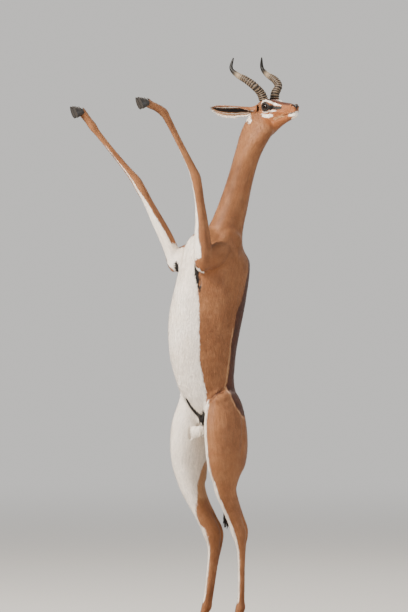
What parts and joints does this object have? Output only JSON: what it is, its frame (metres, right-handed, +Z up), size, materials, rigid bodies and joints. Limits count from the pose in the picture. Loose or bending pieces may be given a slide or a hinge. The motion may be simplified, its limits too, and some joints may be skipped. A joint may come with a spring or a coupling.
{
  "type": "gerenuk",
  "caption": "Life-size long-necked gazelle buck, reared up on its hind legs with its head turned to its left and its forelegs raised, on a plain flat base.",
  "frame": {"origin": "centre of the underside of the display base, between and just behind the hind hooves", "axes": "+Z up, -Y the way the chest and belly face, +X the animal's left"},
  "size_m": [0.7, 0.8592, 2.251],
  "materials": {
    "coat": "short sleek hair, cinnamon with a chestnut back and white underparts",
    "tail_hair": "black hair tuft",
    "horn": "ringed horn",
    "hoof": "dark horn, worn",
    "eye": "glossy, almost black",
    "base": "matt painted board"
  },
  "bodies": {
    "root": {"torso": "coat", "neck": "coat", "head": "coat", "tail": "tail_hair", "hind_leg_left": "coat", "hind_leg_right": "coat", "foreleg_left": "coat", "foreleg_right": "coat", "ear_left": "coat", "ear_right": "coat", "horn_left": "horn", "horn_right": "horn", "eye_left": "eye", "eye_right": "eye", "hoof_hind_left": "hoof", "hoof_hind_right": "hoof", "hoof_fore_left": "hoof", "hoof_fore_right": "hoof", "stand_base": "base"}
  },
  "joints": []
}
